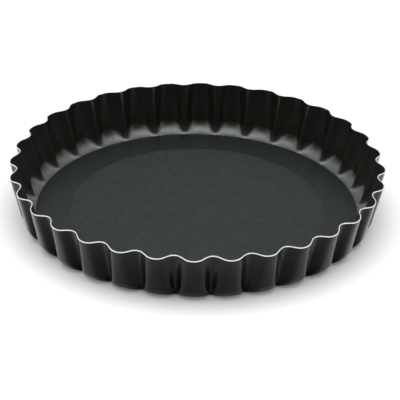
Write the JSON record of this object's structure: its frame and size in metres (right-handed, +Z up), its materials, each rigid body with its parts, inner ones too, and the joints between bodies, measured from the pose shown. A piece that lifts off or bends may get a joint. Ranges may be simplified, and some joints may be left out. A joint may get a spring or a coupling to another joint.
{
  "type": "fluted tart tin",
  "caption": "Round fluted tart tin in dark coated sheet steel, with a leaning wall, a bare cut rim and a loose base that rests on an inward ledge and lifts out.",
  "frame": {"origin": "on the table, under the middle of the tin", "axes": "+Z up along the tin's axis, +X and +Y each through an outward flute"},
  "size_m": [0.25, 0.25, 0.0348],
  "materials": {
    "ring_coating": "dark grey non-stick coating, satin gloss, with a bare cut steel rim",
    "base_coating": "dark grey non-stick coating, satin on the border and matt on the panel"
  },
  "bodies": {
    "ring": {"fluted_ring": "ring_coating"},
    "base": {"loose_base": "base_coating"}
  },
  "joints": [
    {"name": "base_lift", "type": "slide", "parent": "ring", "child": "base", "axis": [0, 0, 1], "range_m": [0, 0.045]}
  ]
}
